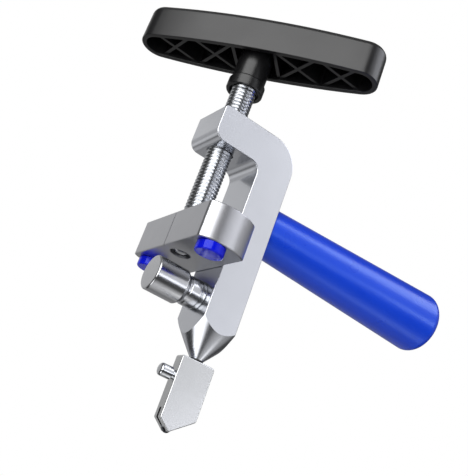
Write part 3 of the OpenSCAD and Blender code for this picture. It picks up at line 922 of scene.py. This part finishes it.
# %% Wheel and axle
wheel_r = (wheel_high.z - wheel_low.z) / 2
rim_r = wheel_r - 0.42
wheel_half = 0.5
edge_half = 0.05
wheel_bore_r = 0.75
wheel_profile = [(-wheel_half, wheel_bore_r), (-wheel_half, rim_r), (-edge_half, wheel_r),
                 (edge_half, wheel_r), (wheel_half, rim_r), (wheel_half, wheel_bore_r)]
finish_piece(turned("scoring_wheel", wheel_profile, "Y", (tip_x, wheel_z), hollow=True), "wheel",
             ["cutter_wheel"], carbide)
end_edge = 0.06
axle_profile = [(head_low.y, 0), (head_low.y, axle_r - end_edge), (head_low.y + end_edge, axle_r),
                (head_high.y - end_edge, axle_r), (head_high.y, axle_r - end_edge),
                (head_high.y, 0)]
finish_piece(turned("wheel_axle_pin", axle_profile, "Y", (tip_x, wheel_z), segments=32), "head",
             ["wheel_axle"], satin_nickel)

# %% [markdown]
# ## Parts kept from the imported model
# Washers, studs, the post and the nut in the hub are plain turned parts that mostly sit inside
# others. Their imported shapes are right, so they stay, and only take a real finish.

# %% Finishes of the kept parts
kept = {"thrust_washer": bronze, "handle_nut": bright_steel, "grip_insert": bronze,
        "grip_stud": bright_steel, "cutter_post": bright_steel, "head_washer": black_rubber}
for part, material in kept.items():
    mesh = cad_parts[part].data
    mesh.materials.clear()
    mesh.materials.append(material)
print("kept parts:", ", ".join(kept))

# %% [markdown]
# ## Floor
# The floor is a wide sheet of pale matt paper, well below the tool, so no hard shadow lies near
# it. It is left out of mirrored rays, as a dark cloth hung just under the tool would do, so that
# the turned parts keep their dark bands.

# %% Floor
floor_mesh = bpy.data.meshes.new("floor")
reach = 6.0
drop = 0.28
floor_z = cad_box[0].z - drop
floor_mesh.from_pydata([(-reach, -reach, floor_z), (reach, -reach, floor_z), (reach, reach, floor_z),
                        (-reach, reach, floor_z)], [], [(0, 1, 2, 3)])
floor = bpy.data.objects.new("floor", floor_mesh)
bpy.context.collection.objects.link(floor)
floor.visible_glossy = False
paper = bpy.data.materials.new("pale_paper")
paper.use_nodes = True
paper_shader = paper.node_tree.nodes["Principled BSDF"]
paper_shader.inputs["Base Color"].default_value = linear("#E4E4E6")
paper_shader.inputs["Roughness"].default_value = 0.8
floor_mesh.materials.append(paper)
print("floor", round(drop / MM), "mm below the tool")


# %% [markdown]
# ## Room
# Bright metal shows what surrounds it, so its tones come from the room and not from its colour.
# The room is a dark grey ball with soft brighter patches, each placed where one kind of face
# mirrors it. The camera itself sees plain white, as behind a tool that is shown on white paper.

# %% Room
def toward(turn, rise):
    """Unit vector at an angle from +X about the vertical and an angle above the floor."""
    turn, rise = math.radians(turn), math.radians(rise)
    return Vector((math.cos(turn) * math.cos(rise), math.sin(turn) * math.cos(rise), math.sin(rise)))


world = bpy.data.worlds.new("studio_room")
bpy.context.scene.world = world
world.use_nodes = True
room = world.node_tree
room.nodes.clear()
path = add_node(room, "ShaderNodeLightPath")
where = add_node(room, "ShaderNodeTexCoord")
# Patches: turn and rise, full within and gone beyond so many degrees, brightness added
patches = [(112, 5, 18, 34, 0.38),    # the front faces of arm and block
           (122, -14, 3, 13, 0.3),    # the arm's rounded lower corner
           (98, -30, 4, 15, 0.45),    # the same corner, nearer the underside
           (60, -22, 14, 34, 0.24),   # the undersides
           (80, 28, 18, 40, 0.36),    # the left rim of the screw and the hub
           (195, -55, 12, 26, 1.9),   # the bright stripe down the nose
           (330, 20, 15, 45, 0.3),    # the right side of the screw and the block's round end
           (33, -60, 6, 20, 0.35),    # the anvil pin from below
           (323, -62, 2, 28, 0.5),    # the anvil pin's lower band
           (344, -33, 8, 22, 0.3),    # the right half of the nose
           (180, 75, 20, 50, 0.25),   # the soft top edge of the T-handle
           (60, -85, 10, 26, 0.3),    # the lower flanks of the thread
           (339, -54, 3, 12, 1.2)]    # the faint lower band of the grip
dimmest = 0.06
level = None
for turn, rise, full, gone, brightness in patches:
    facing = add_node(room, "ShaderNodeVectorMath",
                      {"operation": "DOT_PRODUCT", 1: toward(turn, rise)},
                      {0: where.outputs["Generated"]})
    patch = add_node(room, "ShaderNodeMapRange",
                     {"interpolation_type": "SMOOTHSTEP", "From Min": math.cos(math.radians(gone)),
                      "From Max": math.cos(math.radians(full)), "To Min": 0, "To Max": brightness},
                     {"Value": facing.outputs["Value"]})
    total = add_node(room, "ShaderNodeMath", {"operation": "ADD", 0: dimmest},
                     {1: patch.outputs[0]})
    if level:
        room.links.new(level.outputs[0], total.inputs[0])
    level = total
seen = add_node(room, "ShaderNodeMix", {"data_type": "FLOAT", 3: 1.0},
                {0: path.outputs["Is Camera Ray"], 2: level.outputs[0]})
shade = add_node(room, "ShaderNodeBackground", {"Color": linear("#FFFFFF")},
                 {"Strength": seen.outputs[0]})
add_node(room, "ShaderNodeOutputWorld", {}, {"Surface": shade.outputs[0]})
print("room patches:", len(patches))


# %% [markdown]
# ## Soft boxes
# A soft box is a lit rectangle, and a flat face shows it whole when it stands where that face
# mirrors it. The key box lights the handle's front and the left of everything round. The side box
# fills the flat side faces. Narrow strips draw the long bands along the pin and along the grip.
# They stand clear of the spot that the flat side faces mirror, so those faces stay even.

# %% Soft boxes
def soft_box(name, turn, rise, away, width, height, brightness, colour="#FFFFFF"):
    """A soft box that faces the tool's middle; its watts follow from how bright its face is."""
    light = bpy.data.lights.new(name, "AREA")
    light.shape = "RECTANGLE"
    light.size = width
    light.size_y = height
    light.energy = brightness * math.pi * width * height
    light.color = linear(colour)[:3]
    made = bpy.data.objects.new(name, light)
    made.location = (cad_box[0] + cad_box[1]) / 2 + toward(turn, rise) * away
    made.rotation_mode = "QUATERNION"
    made.rotation_quaternion = toward(turn, rise).to_track_quat("Z", "Y")
    made.visible_camera = False
    bpy.context.collection.objects.link(made)
    print(name, round(light.energy, 1), "W")


faint_blue = "#F4F6FF"
soft_box("key_box", 218, 16, 1.0, 1.1, 1.2, 3.5)
soft_box("side_box", 298, 18, 1.0, 0.8, 0.75, 0.63, "#FAFBFF")
soft_box("low_strip", 287, -8, 0.9, 0.4, 0.2, 2.2, faint_blue)
soft_box("low_grip_strip", 311, 2, 0.9, 0.22, 0.13, 5.0, faint_blue)
soft_box("high_strip", 298, 46, 0.9, 0.36, 0.22, 2.2, faint_blue)
soft_box("high_grip_strip", 327, 43, 0.9, 0.5, 0.36, 3.0, faint_blue)
bpy.context.scene.view_settings.view_transform = "Standard"

# %% [markdown]
# ## Size of the imported model
# The box of the packed model, as it was imported before any piece was built, is printed in
# millimetres.

# %% Size of the imported model
print("packed box", [round(v / MM, 2) for v in cad_box[1] - cad_box[0]], "mm")
